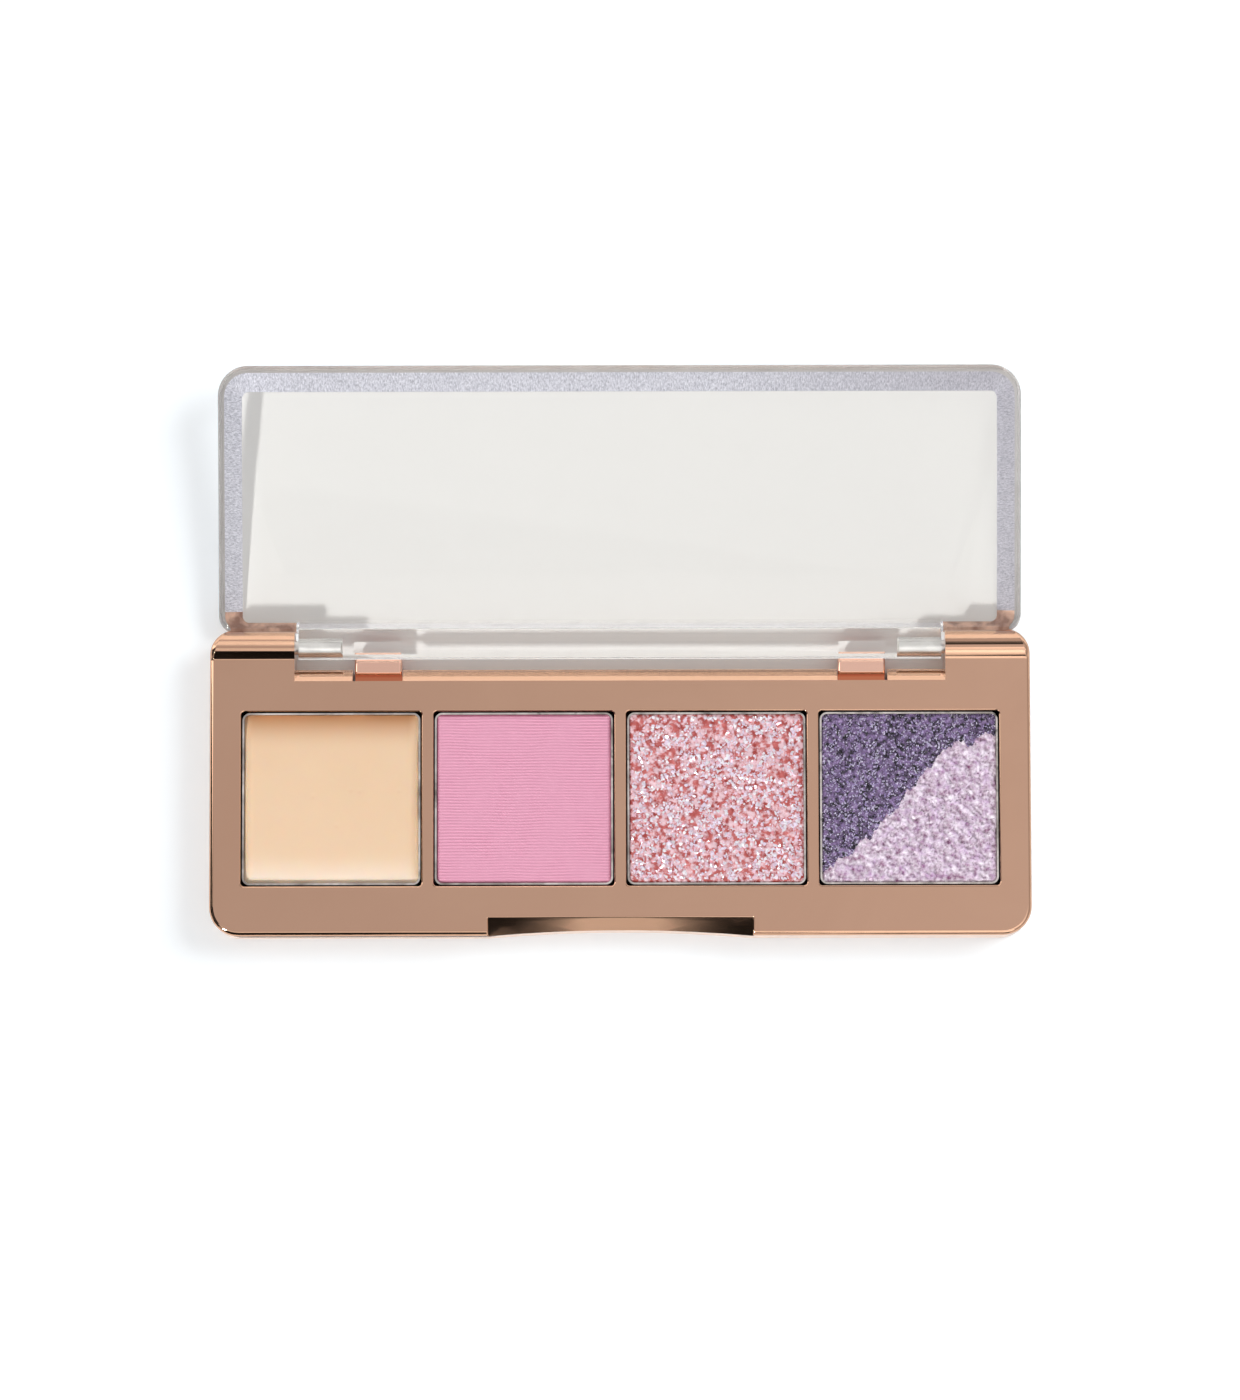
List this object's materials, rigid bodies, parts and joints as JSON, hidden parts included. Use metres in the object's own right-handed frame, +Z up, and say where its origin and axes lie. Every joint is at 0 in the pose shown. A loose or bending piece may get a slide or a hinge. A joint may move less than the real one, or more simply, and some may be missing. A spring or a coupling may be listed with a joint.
{
  "type": "eyeshadow palette",
  "caption": "Slim rose-gold eyeshadow palette: square pressed-powder pans set in a deck with a thumb notch, and a clear bevelled lid that folds back on rear hinge pins.",
  "frame": {"origin": "centre of the underside of the base", "axes": "+X along the row of pans to the right, +Y to the hinge at the rear, +Z up"},
  "size_m": [0.09, 0.0628, 0.0076],
  "materials": {
    "rose_gold": "glossy rose-gold metallised coating on moulded plastic",
    "clear_plastic": "clear polished plastic",
    "pin_steel": "plain drawn steel",
    "pan_metal": "bright drawn sheet",
    "adhesive": "soft pressure-sensitive adhesive",
    "powder_cream": "satin pressed powder with a soft crown",
    "powder_pink": "matte powder pressed through fabric",
    "powder_glitter": "pale flakes pressed in a coral base",
    "powder_violet": "dark pearl powder with fine sparkle",
    "powder_lilac": "pale pearl powder, clumped"
  },
  "bodies": {
    "base": {"base_frame": "rose_gold", "bottom_plate": "rose_gold", "hinge_pin_left": "pin_steel", "hinge_pin_right": "pin_steel", "pan_cream": "pan_metal", "pan_pink": "pan_metal", "pan_glitter": "pan_metal", "pan_duo": "pan_metal", "pan_glue_cream": "adhesive", "pan_glue_pink": "adhesive", "pan_glue_glitter": "adhesive", "pan_glue_duo": "adhesive", "shadow_cream": "powder_cream", "shadow_pink": "powder_pink", "shadow_glitter": "powder_glitter", "shadow_violet": "powder_violet", "shadow_lilac": "powder_lilac"},
    "lid": {"lid": "clear_plastic"}
  },
  "joints": [
    {"name": "lid_hinge", "type": "hinge", "parent": "base", "child": "lid", "pos_m": [0, 0.015, 0.00435], "axis": [1, 0, 0], "range_deg": [0, 171.4]}
  ]
}
